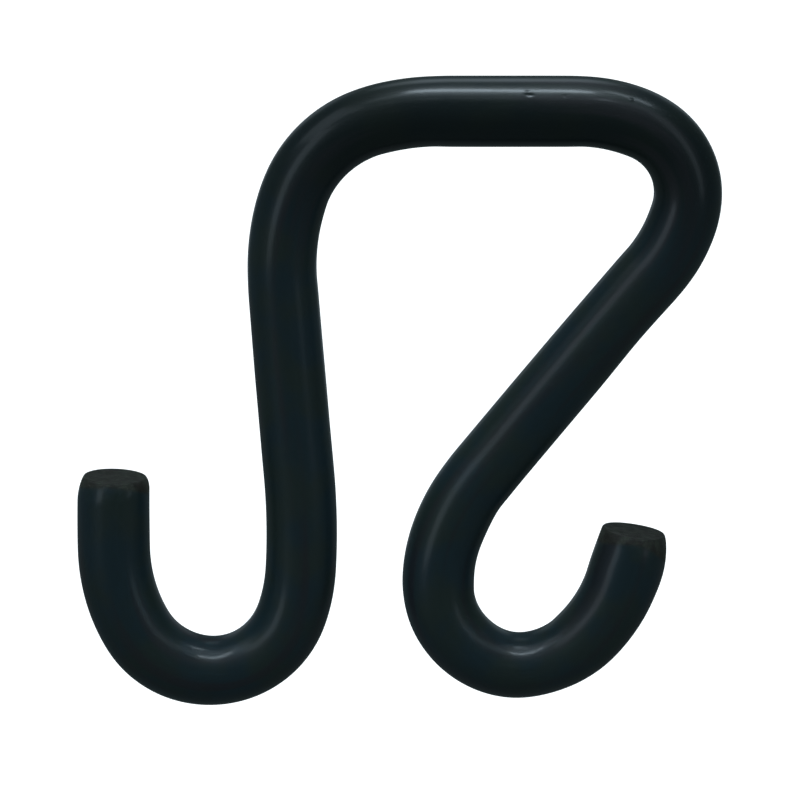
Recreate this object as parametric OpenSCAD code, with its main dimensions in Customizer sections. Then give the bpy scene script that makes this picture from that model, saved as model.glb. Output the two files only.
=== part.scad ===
// Bucket hook bent from one length of round steel bar. Its flat top bar hangs over a rail or a door,
// and the upturned hook at the foot of each leg carries a bucket.
//
// The hook hangs in the XZ plane with +Z up. Its origin is the middle of the underside of the top bar,
// where it bears on the rail. It is drawn flat in the XY plane, about the centreline of the top bar,
// and then stood up.

/* [Bar] */
// Diameter of the round bar
bar_d = 12; // [8:0.5:16]
// How much larger the radius is where a bend runs in and out than at its middle
ease = 2; // [1.2:0.1:3]
// Radius to which the legs are bowed, because bar bent by hand is never quite straight
leg_bow_r = 2000; // [500:100:5000]
// Radius to which the short ends beyond the hooks are bowed
end_bow_r = 250; // [100:10:500]

/* [Top bar] */
// Length of the straight part of the top bar
top_len = 23; // [10:1:80]

/* [Left leg] */
// Centreline radius of the bend from the top bar to the left leg
left_shoulder_r = 20; // [12:0.5:32]
// Angle of that bend in degrees
left_shoulder_angle = 94; // [88:0.5:100]
// Angles over which it runs in and out
left_shoulder_ease = [16, 22]; // [5:1:30]
// Length of the left leg, down to where it starts to curve away from the other leg
left_leg_len = 33; // [15:1:120]
// Radius of that slight curve
left_foot_r = 120; // [80:5:300]
// Length of that slight curve
left_foot_len = 17; // [5:1:30]
// Centreline radius of the left hook
left_hook_r = 14.5; // [12:0.5:24]
// Angle of the left hook in degrees
left_hook_angle = 176; // [150:0.5:185]
// Angles over which it runs in and out
left_hook_ease = [16, 30]; // [5:1:45]
// Length of the end beyond the left hook
left_end_len = 12.5; // [3:0.5:30]
// Width of the bevel around the left end, which is cropped square
left_end_bevel = 0.8; // [0.2:0.1:2]

/* [Right leg] */
// Centreline radius of the bend from the top bar to the right leg
right_shoulder_r = 13; // [10:0.5:24]
// Angle of that bend in degrees
right_shoulder_angle = 130; // [115:0.5:135]
// Angles over which it runs in and out
right_shoulder_ease = [25, 26]; // [5:1:40]
// Length of the slanting right leg
right_leg_len = 47; // [30:1:60]
// Centreline radius of the right hook
right_hook_r = 14; // [12:0.5:24]
// Angle of the right hook in degrees
right_hook_angle = 199; // [170:0.5:205]
// Angles over which it runs in and out
right_hook_ease = [42, 28]; // [5:1:60]
// Length of the end beyond the right hook, along its middle
right_end_len = 9; // [3:0.5:30]
// How far the crop of the right end is out of square in degrees
right_end_skew = 8; // [0:1:15]

/* [Hidden] */
$fn = 96;
bar_r = bar_d / 2;
// How far the bar runs on past its right end, for the skewed crop to cut through it
right_run_on = bar_r / 2;
// How far a cutter reaches past the surface of the bar
cut_margin = 1;

// A leg is a list of stretches, from the top bar to the end of its hook. Each stretch is
// [centreline radius, angle], and turns left where the angle is positive. The right leg is drawn
// as it hangs and the left leg as its mirror image, so that both set off along +X.
right_leg = concat(
    bend(right_shoulder_r, -right_shoulder_angle, right_shoulder_ease),
    [bow(leg_bow_r, right_leg_len)],
    bend(right_hook_r, right_hook_angle, right_hook_ease),
    [bow(end_bow_r, right_end_len + right_run_on)]
);
left_leg = concat(
    bend(left_shoulder_r, -left_shoulder_angle, left_shoulder_ease),
    [bow(leg_bow_r, -left_leg_len)],
    [bow(left_foot_r, left_foot_len)],
    bend(left_hook_r, left_hook_angle, left_hook_ease),
    [bow(end_bow_r, left_end_len)]
);

// A bend to radius r that runs in over the angle run[0] and out over run[1]
function bend(r, angle, run) = [
    [ease * r, sign(angle) * run[0]],
    [r, angle - sign(angle) * (run[0] + run[1])],
    [ease * r, sign(angle) * run[1]]
];

// A stretch bowed to radius r over a length, which is negative where it turns right. Its angle is
// kept to a thousandth of a degree.
function bow(r, len) = [r, round(1000 * len / r * 180 / PI) / 1000];

function dir(angle) = [cos(angle), sin(angle)];

// A spot on a leg is [point, heading], and a stretch turns about a centre square to the heading
function turn_centre(stretch, spot) = spot[0] + sign(stretch[1]) * stretch[0] * dir(spot[1] + 90);

function spot_after(stretch, spot) = [
    turn_centre(stretch, spot) - sign(stretch[1]) * stretch[0] * dir(spot[1] + stretch[1] + 90),
    spot[1] + stretch[1]
];

// The spot where stretch i of a leg starts
function start(leg, i) = i == 0 ? [[top_len / 2, 0], 0] : spot_after(leg[i - 1], start(leg, i - 1));

// Moves to p in whole millimetres, then thousandths, then the rest, so that no digit is lost and the
// stretches meet exactly
module place(p) {
    whole = [for (x = p) round(x)];
    fine = [for (x = p - whole) round(1000 * x) / 1000];
    translate(whole)
        translate(fine)
            translate(p - whole - fine)
                children();
}

module leg(stretches) {
    for (i = [0 : len(stretches) - 1]) {
        spot = start(stretches, i);
        turn = stretches[i][1];
        place(turn_centre(stretches[i], spot))
            rotate_extrude(angle = abs(turn), start = spot[1] + min(turn, 0) - sign(turn) * 90)
                translate([stretches[i][0], 0])
                    circle(d = bar_d);
    }
}

// What the bevel takes off the rim of the left end
module left_bevel_cut() {
    end = start(left_leg, len(left_leg));
    reach = left_end_bevel + cut_margin;
    outside = bar_r + cut_margin;
    mirror([1, 0, 0])
        translate(end[0])
            rotate([0, 90, end[1]])
                rotate_extrude()
                    polygon([[outside, cut_margin], [bar_r - reach, cut_margin], [outside, -reach]]);
}

// What the crop takes off the right end, where the outer side is left the longer one. It is only as
// long as the run-on needs, so that it stays clear of the leg above.
module right_crop_cut() {
    last = len(right_leg) - 1;
    end = spot_after(bow(end_bow_r, right_end_len), start(right_leg, last));
    outside = bar_r + cut_margin;
    translate(end[0])
        rotate(end[1] + right_end_skew)
            translate([0, -outside, -outside])
                cube([bar_r, 2 * outside, 2 * outside]);
}

module hook() {
    color([0.08, 0.12, 0.13])
        rotate([90, 0, 0])
            translate([0, bar_r, 0])
                difference() {
                    union() {
                        rotate([0, 90, 0])
                            cylinder(d = bar_d, h = top_len, center = true);
                        leg(right_leg);
                        mirror([1, 0, 0])
                            leg(left_leg);
                    }
                    left_bevel_cut();
                    right_crop_cut();
                }
}

hook();
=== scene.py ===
"""A bucket hook: one length of round steel bar, bent cold, cropped at both ends and dipped in a thin
blue-black coat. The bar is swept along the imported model's bends, with the slight flattening and swelling
of each bend, the rolled rims and torn faces of the cropped ends, and the small marks in the coat."""

import math

import bpy
import numpy as np
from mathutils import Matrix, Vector, noise

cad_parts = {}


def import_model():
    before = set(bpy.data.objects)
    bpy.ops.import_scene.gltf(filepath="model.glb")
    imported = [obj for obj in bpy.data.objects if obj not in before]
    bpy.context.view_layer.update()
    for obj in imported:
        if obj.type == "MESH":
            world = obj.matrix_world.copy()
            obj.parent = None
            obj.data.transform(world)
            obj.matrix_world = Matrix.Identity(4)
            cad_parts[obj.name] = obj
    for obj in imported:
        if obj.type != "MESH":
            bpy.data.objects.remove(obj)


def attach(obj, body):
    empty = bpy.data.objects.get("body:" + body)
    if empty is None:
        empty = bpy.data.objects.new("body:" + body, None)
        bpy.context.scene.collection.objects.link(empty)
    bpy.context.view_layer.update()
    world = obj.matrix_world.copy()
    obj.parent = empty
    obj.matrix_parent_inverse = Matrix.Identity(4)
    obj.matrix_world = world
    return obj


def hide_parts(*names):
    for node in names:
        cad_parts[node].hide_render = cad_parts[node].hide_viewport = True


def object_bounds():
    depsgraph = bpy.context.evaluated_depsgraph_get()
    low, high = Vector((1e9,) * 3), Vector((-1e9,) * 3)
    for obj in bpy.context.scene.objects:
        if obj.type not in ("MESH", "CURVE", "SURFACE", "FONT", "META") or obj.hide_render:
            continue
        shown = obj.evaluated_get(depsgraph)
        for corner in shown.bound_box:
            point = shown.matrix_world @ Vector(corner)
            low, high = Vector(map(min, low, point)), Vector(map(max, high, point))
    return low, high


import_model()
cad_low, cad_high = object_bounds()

MM = 0.001

# The bar's radius, in millimetres. The hook lies in the XZ plane, so its thickness is the bar's diameter.
BAR_R = (cad_high.y - cad_low.y) / 2 / MM
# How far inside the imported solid's box the coat stays
CLEARANCE = 0.005

# How much larger a bend's radius is where it runs in and out than at its middle
EASE = 2
# Length of the straight part of the top bar
TOP_LEN = 23
# Radii to which the legs and the short ends beyond the hooks are bowed
LEG_BOW_R = 2000
END_BOW_R = 250
# Length over which one curvature runs into the next, and the step in which the centreline is traced
BLEND_LEN = 5
TRACE_STEP = 0.1


def bend(radius, angle, run_in, run_out, squeeze):
    """Stretches (length, angle, squeeze) of a bend, with easier radii at its two ends. squeeze is the
    share by which the bar is flattened in the bend's own plane."""
    sign = math.copysign(1, angle)
    middle = abs(angle) - run_in - run_out
    arcs = [
        (EASE * radius, run_in, squeeze / 2),
        (radius, middle, squeeze),
        (EASE * radius, run_out, squeeze / 2),
    ]
    return [(r * math.radians(a), sign * a, share) for r, a, share in arcs]


def bow(radius, length):
    """One long stretch bowed to a radius. A negative length turns right."""
    return [(abs(length), math.degrees(length / radius), 0)]


# Each leg runs from the top bar to the end of its hook, turning left where an angle is positive. The
# right leg is drawn as it hangs, and the left leg in mirror image.
RIGHT_LEG = (
    bend(13, -130, 25, 26, squeeze=0.02)
    + bow(LEG_BOW_R, 47)
    + bend(14, 199, 42, 28, squeeze=0.03)
    + bow(END_BOW_R, 9)
)
LEFT_LEG = (
    bend(20, -94, 16, 22, squeeze=0.02)
    + bow(LEG_BOW_R, -33)
    + bow(120, 17)
    + bend(14.5, 176, 16, 30, squeeze=0)
    + bow(END_BOW_R, 12.5)
)

# Where along the bar the middle of the top bar lies, from the left end
MIDDLE = sum(length for length, _, _ in LEFT_LEG) + TOP_LEN / 2

# The mesh: rings along the bar, and points around each ring, closer together on the upper front where
# the marks are
RING_STEP = 0.62
POINTS = 128
CROWD_ANGLE = 45
CROWDING = 0.35
# Around a mark, how far the extra rings reach, how many there are, and how far off the bar counts as
# level again. Both distances are in the mark's own lengths.
MARK_REACH = 2
MARK_RINGS = 9
MARK_LIMIT = 4
# The least room between two rings
RING_ROOM = 0.06

# The cropped ends: how deep and how long the rim is rolled over on the side that faces into the hook
# and on the outer side, how far the crop is out of square, how far the coat is worn back from the rim on
# the inner side, the front and back, and the outer side, and which stretch of the noise roughens the face
LEFT_END = dict(inner_roll=(0.6, 2), outer_roll=(1.1, 4.5), skew=0, worn=(2.5, 0.8, 1.9), seed=3.1)
RIGHT_END = dict(inner_roll=(0.15, 0.5), outer_roll=(1.9, 7), skew=8, worn=(3, 1.2, 3.8), seed=7.7)
# The rim's roll is part a parabola, by this share, and part a quarter of a circle
ROLL_PARABOLA = 0.6
# Length and rings of the zone at each end, over which the rings lean to the crop and crowd towards it
END_ZONE = 8
ZONE_RINGS = 24
ZONE_CROWDING = 1.8
# Steps from the rim of a cropped face to its middle
FACE_STEPS = 14
# The height of its torn relief, the share of that by which it is dished, how steeply the relief fades
# towards the rim, the sizes of its lumps and of the grain on them, and how high the grain is in the lumps
FACE_RELIEF = 0.1
FACE_DISH = 0.7
FACE_FADE = 6
LUMP_LEN = 1.7
GRAIN_LEN = 0.6
GRAIN_SHARE = 0.5
GRAIN_SEED = 5
# How far inside the worn part a cropped face counts as lying
FACE_WORN = 5.0

# Small marks in the coat on the top bar: place along it from its middle, angle from the top towards the
# front, length, width, and height, which is negative for a pit
MARKS = [
    (3.0, 46, 0.5, 0.22, 0.07),
    (3.5, 51, 0.55, 0.22, -0.12),
    (9.3, 53, 0.28, 0.2, -0.06),
    (19.3, 45, 0.3, 0.22, 0.12),
    (-3.3, 122, 0.4, 0.25, -0.04),
    (5.1, 123, 0.4, 0.25, -0.04),
]
# How far the coat's thickness wanders, over what length, and which stretch of the noise it follows
SAG = 0.02
SAG_LEN = 9
SAG_SEED = 1.7

# Where bending has thickened or thinned the bar in the hook's plane: place along it from the left end,
# reach either way, side (1 is on the left as seen on the way from the left end to the right), and height
SWELLS = [
    (12, 16, 1, 0.3),
    (32, 12, -1, 0.3),
    (47, 9, 1, -0.35),
    (130, 22, -1, -0.25),
    (207, 11, -1, -0.35),
    (238, 9, 1, -0.3),
    (283, 6, 1, 0.35),
    (296, 10, -1, 0.4),
    (315, 6, 1, -0.3),
    (322, 5, -1, -0.45),
    (341, 9, -1, 0.3),
    (346, 9, 1, 0.35),
]


# ---------------------------------------------------------------------------- the bar's centreline


def trace():
    """The centreline from the left end to the right: distance along, x, z, heading and squeeze."""
    stretches = LEFT_LEG[::-1] + [(TOP_LEN, 0, 0)] + RIGHT_LEG
    lengths = [length for length, _, _ in stretches]
    along = np.arange(0, sum(lengths) + TRACE_STEP / 2, TRACE_STEP)
    which = np.minimum(np.searchsorted(np.cumsum(lengths), along, side="right"), len(stretches) - 1)
    curvature = np.array([math.radians(a) / length for length, a, _ in stretches])[which]
    squeeze = np.array([share for _, _, share in stretches])[which]
    curvature, squeeze = blended(curvature), blended(squeeze)
    heading = integral(curvature, along, MIDDLE)
    x = integral(np.cos(heading), along, MIDDLE)
    z = integral(np.sin(heading), along, MIDDLE) + BAR_R
    return along, x, z, heading, squeeze


def blended(values):
    """Values evened out over BLEND_LEN, with the two ends held."""
    n = int(BLEND_LEN / TRACE_STEP)
    padded = np.pad(values, (n, n), mode="edge")
    weights = np.hanning(n + 2)[1:-1]
    return np.convolve(padded, weights / weights.sum(), mode="same")[n:-n]


def integral(slope, along, zero_at):
    """The running integral of slope, which is 0 at zero_at."""
    steps = (slope[1:] + slope[:-1]) / 2 * np.diff(along)
    total = np.concatenate([[0], np.cumsum(steps)])
    return total - np.interp(zero_at, along, total)


# ---------------------------------------------------------------------------- the swept mesh


def stations(length):
    """Where the rings stand along the bar: even, but close together near the ends and the marks."""
    near_end = END_ZONE * (np.arange(ZONE_RINGS) / ZONE_RINGS) ** ZONE_CROWDING
    count = round((length - 2 * END_ZONE) / RING_STEP)
    even = np.linspace(END_ZONE, length - END_ZONE, count + 1)
    steps = np.linspace(-MARK_REACH, MARK_REACH, MARK_RINGS)
    extra = [MIDDLE + place + step * size for place, _, size, _, _ in MARKS for step in steps]
    inner = np.unique(np.round(np.concatenate([even, extra]), 3))
    inner = inner[np.concatenate([[True], np.diff(inner) > RING_ROOM])]
    return np.concatenate([near_end, inner, length - near_end[::-1]])


def ring_angles():
    """Angles around the bar, crowded together about CROWD_ANGLE. They start on the side that faces into
    the hooks, which is the upper side of the top bar."""
    even = np.linspace(0, 2 * np.pi, POINTS, endpoint=False)
    centre = math.radians(CROWD_ANGLE)
    return even - CROWDING * np.sin(even - centre)


def per_side(inner, outer, angles):
    """A value that runs smoothly round the bar, from the side that faces into the hook to the outer side."""
    return inner + (outer - inner) * (1 - np.cos(angles)) / 2


def rolled(distance, roll, angles):
    """How far the rim is rolled in at a distance from the crop."""
    (inner_depth, inner_len), (outer_depth, outer_len) = roll
    depth = per_side(inner_depth, outer_depth, angles)
    reach = per_side(inner_len, outer_len, angles)
    left = np.clip(1 - distance / reach, 0, 1)
    circle = 1 - np.sqrt(1 - left**2)
    return depth * (ROLL_PARABOLA * left**2 + (1 - ROLL_PARABOLA) * circle)


def worn_back(distance, worn, angles):
    """How far a point lies inside the worn part of an end, in millimetres, or outside it if negative."""
    inner, front, outer = worn
    side = np.where(np.cos(angles) > 0, inner, outer)
    return front + (side - front) * np.cos(angles) ** 2 - distance


def wander(points, size, seed):
    """Smooth noise from -1 to 1 at some points, which varies over a size."""
    offset = Vector((seed, -seed, 2 * seed))
    return np.array([noise.noise(Vector(p) / size + offset) for p in points])


class Sweep:
    """The bar's surface, as rings of points in millimetres, with each point's place on the straight bar
    and how far it is worn."""

    def __init__(self):
        self.along, self.x, self.z, self.heading, self.squeeze = trace()
        self.length = self.along[-1]
        self.angles = ring_angles()
        self.points, self.bar, self.worn = [], [], []

    def frame_at(self, s):
        """The centre, the direction in which the angles start, the heading and the flattening at a distance
        along the bar, which may lie past its ends."""
        inside = np.clip(s, 0, self.length)
        heading = np.interp(inside, self.along, self.heading)
        ahead = np.array([np.cos(heading), np.zeros_like(heading), np.sin(heading)]).T
        normal = np.array([-np.sin(heading), np.zeros_like(heading), np.cos(heading)]).T
        x, z = np.interp(inside, self.along, self.x), np.interp(inside, self.along, self.z)
        centre = np.array([x, np.zeros_like(x), z]).T + ahead * (s - inside)[:, None]
        return centre, normal, ahead, 1 - np.interp(inside, self.along, self.squeeze)

    def ring(self, station):
        """One ring of points. Near an end, the ring leans over to the slant of the crop."""
        at_left = station < self.length / 2
        end = LEFT_END if at_left else RIGHT_END
        distance = station if at_left else self.length - station
        lean = max(0, 1 - distance / END_ZONE)
        slant = BAR_R * np.cos(self.angles) * math.tan(math.radians(end["skew"])) * lean
        s = station - slant
        centre, normal, _, flat = self.frame_at(s)
        inset = rolled(distance, (end["inner_roll"], end["outer_roll"]), self.angles)
        radius = BAR_R - inset + self.marks(station) + self.swell(station)
        front = np.array([0, -1, 0])
        across = (radius * flat * np.cos(self.angles))[:, None] * normal
        points = centre + across + (radius * np.sin(self.angles))[:, None] * front
        sag = wander(points, SAG_LEN, SAG_SEED) * SAG
        out = (points - centre) / radius[:, None]
        self.points.append(points + out * sag[:, None])
        self.bar.append(np.array([BAR_R * np.cos(self.angles), BAR_R * np.sin(self.angles), s]).T)
        self.worn.append(worn_back(distance, end["worn"], self.angles))

    def marks(self, station):
        """How far the marks raise or pit one ring."""
        height = np.zeros(POINTS)
        for place, angle, size, width, tall in MARKS:
            off = (station - MIDDLE - place) / size
            if abs(off) < MARK_LIMIT:
                around = (self.angles - math.radians(angle) + np.pi) % (2 * np.pi) - np.pi
                height += tall * np.exp(-(off**2) - (around * BAR_R / width) ** 2)
        return height

    def swell(self, station):
        """How far one ring is swollen by bending."""
        height = np.zeros(POINTS)
        for place, reach, side, tall in SWELLS:
            toward = np.clip(side * np.cos(self.angles), 0, 1)
            height += tall * math.exp(-(((station - place) / reach) ** 2)) * toward**2
        return height

    def face(self, rim, outward, seed):
        """Adds the rings of a cropped face, from its rim inwards: torn steel, slightly dished. Returns the
        point at its middle and that point's place on the straight bar."""
        rim_points, rim_bar = self.points[rim], self.bar[rim]
        centre, bar_centre = rim_points.mean(0), rim_bar.mean(0)
        for share in np.linspace(1, 0, FACE_STEPS + 1)[1:-1]:
            points = centre + (rim_points - centre) * share
            fade = 1 - share**FACE_FADE
            grain = wander(points, GRAIN_LEN, seed + GRAIN_SEED)
            rough = wander(points, LUMP_LEN, seed) + GRAIN_SHARE * grain
            points = points + outward * ((rough - FACE_DISH) * FACE_RELIEF * fade)[:, None]
            self.points.append(points)
            self.bar.append(bar_centre + (rim_bar - bar_centre) * share)
            self.worn.append(np.full(POINTS, FACE_WORN))
        return centre - outward * FACE_RELIEF * FACE_DISH, bar_centre


def around(ring):
    """The index of each point of a ring, and of the next point round."""
    k = np.arange(POINTS)
    return ring * POINTS + k, ring * POINTS + (k + 1) % POINTS


def quads(ring, other):
    """Faces between two rings."""
    (first, first_next), (second, second_next) = around(ring), around(other)
    return np.array([first, first_next, second_next, second]).T.tolist()


def in_the_box(points):
    """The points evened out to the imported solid's box, which moves them by a few hundredths of a mm."""
    low = np.array(cad_low) / MM + CLEARANCE
    high = np.array(cad_high) / MM - CLEARANCE
    share = (high - low) / (points.max(0) - points.min(0))
    return low + (points - points.min(0)) * share


def hook_mesh():
    """The whole bar as one closed mesh, with its own coordinates and how far each point is worn."""
    sweep = Sweep()
    rings = stations(sweep.length)
    for station in rings:
        sweep.ring(station)
    last = len(rings) - 1
    faces = []
    for i in range(last):
        faces += quads(i, i + 1)

    # The cropped faces. Their middle points come after all the rings.
    middles = []
    for rim, sign, end in ((0, -1, LEFT_END), (last, 1, RIGHT_END)):
        tilt = math.radians(end["skew"])
        _, normal, ahead, _ = sweep.frame_at(np.array([rings[rim]]))
        outward = sign * math.cos(tilt) * ahead[0] + math.sin(tilt) * normal[0]
        first_new = len(sweep.points)
        middle, middle_bar = sweep.face(rim, outward, end["seed"])
        inwards = [rim] + list(range(first_new, len(sweep.points)))
        for a, b in zip(inwards, inwards[1:]):
            faces += quads(b, a) if sign < 0 else quads(a, b)
        middles.append((middle, middle_bar, inwards[-1], sign))
    first_middle = len(sweep.points) * POINTS
    for i, (middle, middle_bar, ring, sign) in enumerate(middles):
        sweep.points.append(middle)
        sweep.bar.append(middle_bar)
        sweep.worn.append([FACE_WORN])
        centre = first_middle + i
        faces += [(a, b, centre) if sign > 0 else (b, a, centre) for a, b in zip(*around(ring))]

    points = np.vstack(sweep.points)
    bar = np.vstack(sweep.bar)
    worn = np.concatenate(sweep.worn)
    mesh = bpy.data.meshes.new("hook_bar")
    mesh.from_pydata((in_the_box(points) * MM).tolist(), [], faces)
    mesh.attributes.new("bar", "FLOAT_VECTOR", "POINT").data.foreach_set("vector", (bar * MM).ravel())
    mesh.attributes.new("worn", "FLOAT", "POINT").data.foreach_set("value", worn)
    mesh.polygons.foreach_set("use_smooth", [True] * len(mesh.polygons))
    mesh.validate()
    mesh.update()
    return mesh


# ---------------------------------------------------------------------------- materials

# A Mix node's sockets for colours, which share their names with its sockets for numbers and vectors
MIX_A = 6
MIX_B = 7
MIX_RESULT = 2


class Nodes:
    """A short way to write a material's node tree."""

    def __init__(self, tree):
        self.tree = tree
        tree.nodes.clear()

    def add(self, kind, **settings):
        node = self.tree.nodes.new(kind)
        for name, value in settings.items():
            setattr(node, name, value)
        return node

    def link(self, source, target):
        self.tree.links.new(source, target)

    def put(self, socket, value):
        """Links an output to a socket, or sets the socket to a plain value."""
        if isinstance(value, bpy.types.NodeSocket):
            self.link(value, socket)
        else:
            socket.default_value = value

    def math(self, operation, *values):
        node = self.add("ShaderNodeMath", operation=operation)
        for socket, value in zip(node.inputs, values):
            self.put(socket, value)
        return node.outputs[0]

    def noise(self, vector, scale, detail, roughness=0.5):
        """Noise that varies over 1/scale metres."""
        node = self.add("ShaderNodeTexNoise")
        self.put(node.inputs["Vector"], vector)
        self.put(node.inputs["Scale"], scale)
        self.put(node.inputs["Detail"], detail)
        self.put(node.inputs["Roughness"], roughness)
        return node.outputs["Fac"]

    def ramp(self, value, low, high, to_low=0.0, to_high=1.0):
        """Maps low..high to to_low..to_high smoothly, and holds it beyond."""
        node = self.add("ShaderNodeMapRange", interpolation_type="SMOOTHSTEP")
        self.put(node.inputs["Value"], value)
        for name, number in zip(("From Min", "From Max", "To Min", "To Max"), (low, high, to_low, to_high)):
            self.put(node.inputs[name], number)
        return node.outputs["Result"]

    def mix_colour(self, share, a, b):
        node = self.add("ShaderNodeMix", data_type="RGBA")
        self.put(node.inputs["Factor"], share)
        self.put(node.inputs[MIX_A], a)
        self.put(node.inputs[MIX_B], b)
        return node.outputs[MIX_RESULT]

    def bump(self, height, depth, normal=None):
        node = self.add("ShaderNodeBump")
        self.put(node.inputs["Height"], height)
        node.inputs["Strength"].default_value = 1.0
        node.inputs["Distance"].default_value = depth
        if normal is not None:
            self.put(node.inputs["Normal"], normal)
        return node.outputs["Normal"]

    def mix_shader(self, share, a, b):
        """Shader a where share is 0, and b where it is 1."""
        node = self.add("ShaderNodeMixShader")
        self.link(share, node.inputs[0])
        self.link(a.outputs[0], node.inputs[1])
        self.link(b.outputs[0], node.inputs[2])
        return node

    def surface(self, kind, shader):
        """Ends the tree with a shader."""
        self.link(shader.outputs[0], self.add(kind).inputs["Surface"])


def rgb(r, g, b):
    """The linear colour that a shader takes, from the colour as it looks on a screen."""
    return tuple(v / 12.92 if v <= 0.04045 else ((v + 0.055) / 1.055) ** 2.4 for v in (r, g, b)) + (1.0,)


# How far along the bar from the middle of the top bar the painted shade ends and the legs' colour begins
PAINTED_SHADE_REACH = 28
PAINTED_SHADE_END = 52

# The coat is a mottle of a cool and an olive colour under fine grey stripes. Each colour has a darker copy,
# painted shade on the top bar, which lies in less light than the legs. The worn ends are a mottle of two
# greys.
SHADED_TOP_COOL = rgb(0.05, 0.094, 0.1)
LEG_COOL = rgb(0.093, 0.157, 0.183)
SHADED_TOP_OLIVE = rgb(0.06, 0.1, 0.09)
LEG_OLIVE = rgb(0.119, 0.162, 0.154)
STRIPE_GREY = rgb(0.138, 0.126, 0.146)
STRIPE_SHARE = 0.65
TORN_DARK = rgb(0.155, 0.143, 0.125)
TORN_LIGHT = rgb(0.205, 0.21, 0.178)
# By how much the pattern of the draw lines and stripes is drawn out: its scale along the bar over its
# scale around it
DRAWN = 0.06
# How ragged the edge of the worn ends is, and from where to where across it the coat runs out, all in
# millimetres
EDGE_RAGGED = 0.6
EDGE_FADE = (-0.35, 0.45)
# The coat's two layers: the roughness of the lower one outside its clouds and in them, how much the draw
# lines change that, and how much rougher the worn ends are, and then what the clear layer over it is like
CLOUD_ROUGHNESS = (0.36, 0.42)
STREAK_ROUGHNESS = (-0.02, 0.02)
BARE_ROUGHER = 0.25
COAT_IOR = 1.4
COAT_WEIGHT = 0.5
COAT_ROUGHNESS = 0.17
# The heights of the bumps, in metres
PEEL_HEIGHT = 0.000006
STREAK_HEIGHT = 0.000012
GRAIN_HEIGHT = 0.00006


def coat_material():
    """The dipped coat, worn through to torn steel at the cropped ends."""
    material = bpy.data.materials.new("dipped_coat")
    material.use_nodes = True
    n = Nodes(material.node_tree)
    bar = n.add("ShaderNodeAttribute", attribute_name="bar").outputs["Vector"]
    parts = n.add("ShaderNodeSeparateXYZ")
    n.link(bar, parts.inputs[0])
    place = parts.outputs["Z"]
    worn = n.add("ShaderNodeAttribute", attribute_name="worn").outputs["Fac"]

    # The same coordinates drawn out along the bar, for the faint draw lines under the coat
    drawn = n.add("ShaderNodeVectorMath", operation="MULTIPLY")
    n.put(drawn.inputs[0], bar)
    drawn.inputs[1].default_value = (1, 1, DRAWN)
    streaks = n.noise(drawn.outputs[0], scale=900, detail=3)
    stripes = n.noise(drawn.outputs[0], scale=330, detail=2)
    clouds = n.noise(bar, scale=110, detail=3)
    peel = n.noise(bar, scale=700, detail=2)
    grain = n.noise(bar, scale=3500, detail=2)

    # Where the coat is worn off the cropped ends, with a slightly ragged edge
    off_edge = n.math("SUBTRACT", n.noise(bar, scale=400, detail=3), 0.5)
    bare = n.ramp(n.math("ADD", worn, n.math("MULTIPLY", off_edge, EDGE_RAGGED)), *EDGE_FADE)

    from_middle = n.math("ABSOLUTE", n.math("SUBTRACT", place, MIDDLE * MM))
    # Painted shade: the top bar's colours are darker, and they fade out into the legs' colours
    out_of_painted_shade = n.ramp(from_middle, PAINTED_SHADE_REACH * MM, PAINTED_SHADE_END * MM)
    cool = n.mix_colour(out_of_painted_shade, SHADED_TOP_COOL, LEG_COOL)
    olive = n.mix_colour(out_of_painted_shade, SHADED_TOP_OLIVE, LEG_OLIVE)
    coat = n.mix_colour(n.ramp(clouds, 0.38, 0.62), cool, olive)
    striped = n.math("MULTIPLY", n.ramp(stripes, 0.48, 0.66), STRIPE_SHARE)
    coat = n.mix_colour(striped, coat, STRIPE_GREY)
    patches = n.ramp(n.noise(bar, scale=600, detail=4, roughness=0.6), 0.4, 0.65)
    torn = n.mix_colour(patches, TORN_DARK, TORN_LIGHT)
    colour = n.mix_colour(bare, coat, torn)

    clouded = n.ramp(clouds, 0.3, 0.7, *CLOUD_ROUGHNESS)
    streaked = n.ramp(streaks, 0.3, 0.7, *STREAK_ROUGHNESS)
    roughness = n.math("ADD", n.math("ADD", clouded, streaked), n.math("MULTIPLY", bare, BARE_ROUGHER))

    normal = n.bump(peel, PEEL_HEIGHT)
    normal = n.bump(streaks, STREAK_HEIGHT, normal)
    normal = n.bump(n.math("MULTIPLY", grain, bare), GRAIN_HEIGHT, normal)

    shader = n.add("ShaderNodeBsdfPrincipled")
    n.put(shader.inputs["Base Color"], colour)
    n.put(shader.inputs["Roughness"], roughness)
    n.put(shader.inputs["Normal"], normal)
    n.put(shader.inputs["Coat Weight"], n.math("MULTIPLY", n.math("SUBTRACT", 1.0, bare), COAT_WEIGHT))
    shader.inputs["Coat Roughness"].default_value = COAT_ROUGHNESS
    shader.inputs["Coat IOR"].default_value = COAT_IOR
    shader.inputs["IOR"].default_value = COAT_IOR
    n.surface("ShaderNodeOutputMaterial", shader)
    return material


# ---------------------------------------------------------------------------- floor, light, camera

# How far below the hook the floor lies, and half its width, in metres
FLOOR_DROP = 0.16
FLOOR_HALF = 4
# The floor's own grey, and how much it glows to the camera near the hook and further out. It turns from
# the one to the other between two distances, in metres.
FLOOR_GREY = (0.5, 0.5, 0.5, 1)
FLOOR_GLOW = (0.8, 1.0)
GLOW_REACH = (0.2, 0.5)
WHITE = (1, 1, 1, 1)
# The room around the hook: how bright its walls and floor mirror in the coat, and how bright they light it
ROOM_COLOUR = (0.74, 1, 1.06, 1)
ROOM_MIRRORED = 0.075
ROOM_LIGHT = 0.3


def room_shader(n, path, kind):
    """What the room is to every ray but the camera's."""
    mirrored, light = n.add(kind), n.add(kind)
    for shader, strength in ((mirrored, ROOM_MIRRORED), (light, ROOM_LIGHT)):
        shader.inputs["Color"].default_value = ROOM_COLOUR
        shader.inputs["Strength"].default_value = strength
    return n.mix_shader(path.outputs["Is Diffuse Ray"], mirrored, light)


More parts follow.
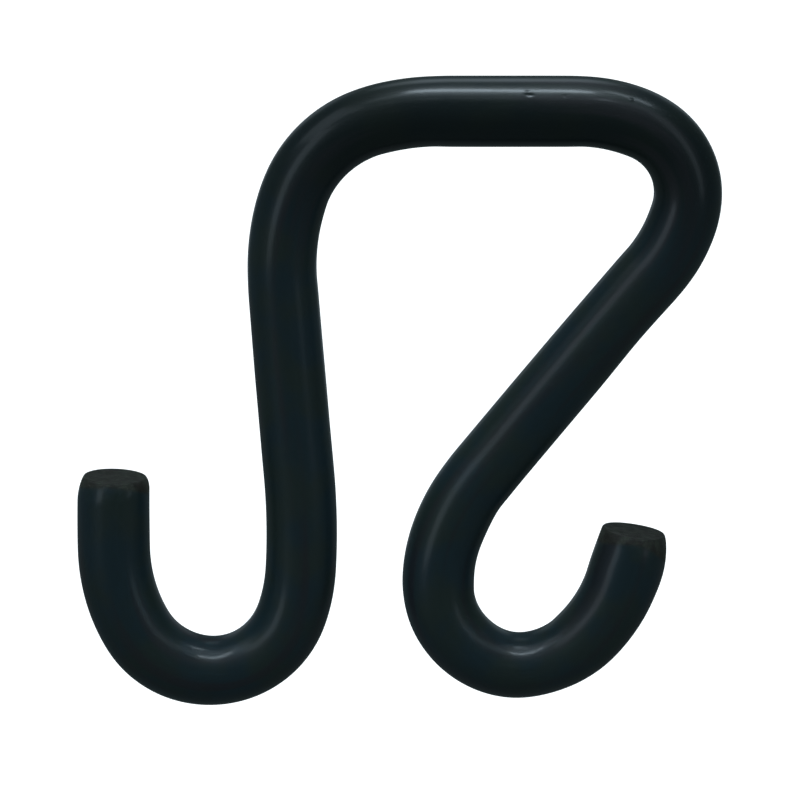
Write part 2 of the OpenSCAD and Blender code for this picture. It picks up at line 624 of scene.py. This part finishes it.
def floor_material():
    """White to the camera but for the hook's shadow, dim to other rays, and clear from underneath, so that
    the floor doesn't hide the hook there."""
    material = bpy.data.materials.new("floor")
    material.use_nodes = True
    n = Nodes(material.node_tree)
    path = n.add("ShaderNodeLightPath")
    place = n.add("ShaderNodeTexCoord").outputs["Object"]
    flat = n.add("ShaderNodeVectorMath", operation="MULTIPLY")
    n.put(flat.inputs[0], place)
    flat.inputs[1].default_value = (1, 1, 0)
    reach = n.add("ShaderNodeVectorMath", operation="LENGTH")
    n.link(flat.outputs[0], reach.inputs[0])
    pale = n.add("ShaderNodeBsdfDiffuse")
    pale.inputs["Color"].default_value = FLOOR_GREY
    lift = n.add("ShaderNodeEmission")
    n.put(lift.inputs["Strength"], n.ramp(reach.outputs["Value"], *GLOW_REACH, *FLOOR_GLOW))
    seen = n.add("ShaderNodeAddShader")
    n.link(pale.outputs[0], seen.inputs[0])
    n.link(lift.outputs[0], seen.inputs[1])
    above = n.mix_shader(path.outputs["Is Camera Ray"], room_shader(n, path, "ShaderNodeEmission"), seen)
    backfacing = n.add("ShaderNodeNewGeometry").outputs["Backfacing"]
    n.surface("ShaderNodeOutputMaterial", n.mix_shader(backfacing, above, n.add("ShaderNodeBsdfTransparent")))
    return material


def floor():
    """A plain pale floor well below the hook."""
    mesh = bpy.data.meshes.new("floor")
    z = cad_low.z - FLOOR_DROP
    corners = [(x * FLOOR_HALF, y * FLOOR_HALF, z) for x, y in ((-1, -1), (1, -1), (1, 1), (-1, 1))]
    mesh.from_pydata(corners, [], [(0, 1, 2, 3)])
    mesh.materials.append(floor_material())
    obj = bpy.data.objects.new("floor", mesh)
    bpy.context.scene.collection.objects.link(obj)


def world():
    """White behind the hook, and a dim room around it."""
    made = bpy.data.worlds.new("room")
    bpy.context.scene.world = made
    made.use_nodes = True
    n = Nodes(made.node_tree)
    path = n.add("ShaderNodeLightPath")
    white = n.add("ShaderNodeBackground")
    white.inputs["Color"].default_value = WHITE
    mix = n.mix_shader(path.outputs["Is Camera Ray"], room_shader(n, path, "ShaderNodeBackground"), white)
    n.surface("ShaderNodeOutputWorld", mix)


# The lamps' own colour, which is a cool daylight
DAYLIGHT = (0.83, 1, 1.12)


def towards(azimuth, elevation):
    """A direction from the hook. Azimuth 0 is in front, and it grows to the right."""
    a, e = math.radians(azimuth), math.radians(elevation)
    return Vector((math.sin(a) * math.cos(e), -math.cos(a) * math.cos(e), math.sin(e)))


def lamp(name, azimuth, elevation, distance, size, strength, aim=None, spread=180, mirrored=True):
    """A soft rectangular lamp that faces aim, or else the middle of the hook. Angles are in degrees, and
    distance and size in metres. strength is the brightness of its face, which grows where a smaller spread
    narrows its beam. The coat shows it as a highlight unless it isn't mirrored."""
    data = bpy.data.lights.new(name, "AREA")
    data.shape = "RECTANGLE"
    data.size, data.size_y = size
    data.energy = strength * size[0] * size[1] * math.pi
    data.color = DAYLIGHT
    data.spread = math.radians(spread)
    obj = bpy.data.objects.new(name, data)
    bpy.context.scene.collection.objects.link(obj)
    way = towards(azimuth, elevation)
    obj.location = (aim or (cad_low + cad_high) / 2) + way * distance
    obj.rotation_euler = way.to_track_quat("Z", "Y").to_euler()
    obj.visible_camera = False
    obj.visible_glossy = mirrored


# What the close lamps are aimed at: the middle of the top bar, and a point low between the two hooks
TOP_BAR = Vector((0, 0, BAR_R)) * MM
HOOKS = Vector((-28, 0, -92)) * MM
# The row of narrow beams that draws the crescent highlights in the hooks
BEAM_AZIMUTHS = (-42, -22, -2, 18)


def lamps():
    """The photo's strip light and windows, the beams at the hooks, and soft light for the back."""
    lamp("top_strip", -10, 80, 0.07, (0.05, 0.011), 12.5, aim=TOP_BAR)
    lamp("shoulder_strip", 82, 57, 0.083, (0.011, 0.035), 4.5, aim=TOP_BAR)
    lamp("overhead", -10, 77, 0.9, (0.6, 0.14), 0.9)
    for azimuth in BEAM_AZIMUTHS:
        lamp(f"hook_beam_{azimuth}", azimuth, 59, 0.45, (0.16, 0.05), 0.062, aim=HOOKS, spread=11)
    lamp("left_window", -47, 13, 1.2, (0.38, 1.1), 0.92)
    lamp("right_window", 50, 24, 1.2, (0.34, 1.7), 0.52)
    lamp("far_left", -72, 48, 1.2, (0.68, 0.6), 0.7)
    lamp("back_top", 180, 49, 0.18, (0.19, 0.07), 0.05, aim=TOP_BAR, spread=34)
    lamp("back_left_window", -156, 10, 0.6, (0.2, 0.5), 0.2)
    lamp("back_right_window", 156, 10, 0.6, (0.2, 0.5), 0.2)
    lamp("back_left_fill", -138, 20, 1.2, (0.8, 0.8), 1.7, mirrored=False)
    lamp("back_right_fill", 138, 20, 1.2, (0.8, 0.8), 1.7, mirrored=False)


# Where the camera aims from the middle of the hook's box
AIM = Vector((0.3, 0, -1.25)) * MM
# Where it stands, and the range of distances that it sees, in metres and degrees
CAMERA_DISTANCE = 1.5
CAMERA_ELEVATION = 14
CLIP_NEAR = 0.01
CLIP_FAR = 50
# Its lens and the width of its sensor, in millimetres
LENS = 399.4
SENSOR = 36


def camera():
    """The photo's camera, straight in front of the hook and a little above it."""
    data = bpy.data.cameras.new("camera")
    data.lens = LENS
    data.sensor_width = SENSOR
    data.clip_start, data.clip_end = CLIP_NEAR, CLIP_FAR
    obj = bpy.data.objects.new("camera", data)
    bpy.context.scene.collection.objects.link(obj)
    way = towards(0, CAMERA_ELEVATION)
    obj.location = (cad_low + cad_high) / 2 + AIM + way * CAMERA_DISTANCE
    obj.rotation_euler = way.to_track_quat("Z", "Y").to_euler()
    bpy.context.scene.camera = obj


def hook():
    """The visible bar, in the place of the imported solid."""
    obj = bpy.data.objects.new("hook_bar", hook_mesh())
    bpy.context.scene.collection.objects.link(obj)
    obj.data.materials.append(coat_material())
    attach(obj, "root")
    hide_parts("hook")


camera()
hook()
floor()
world()
lamps()
bpy.context.scene.view_settings.view_transform = "Standard"
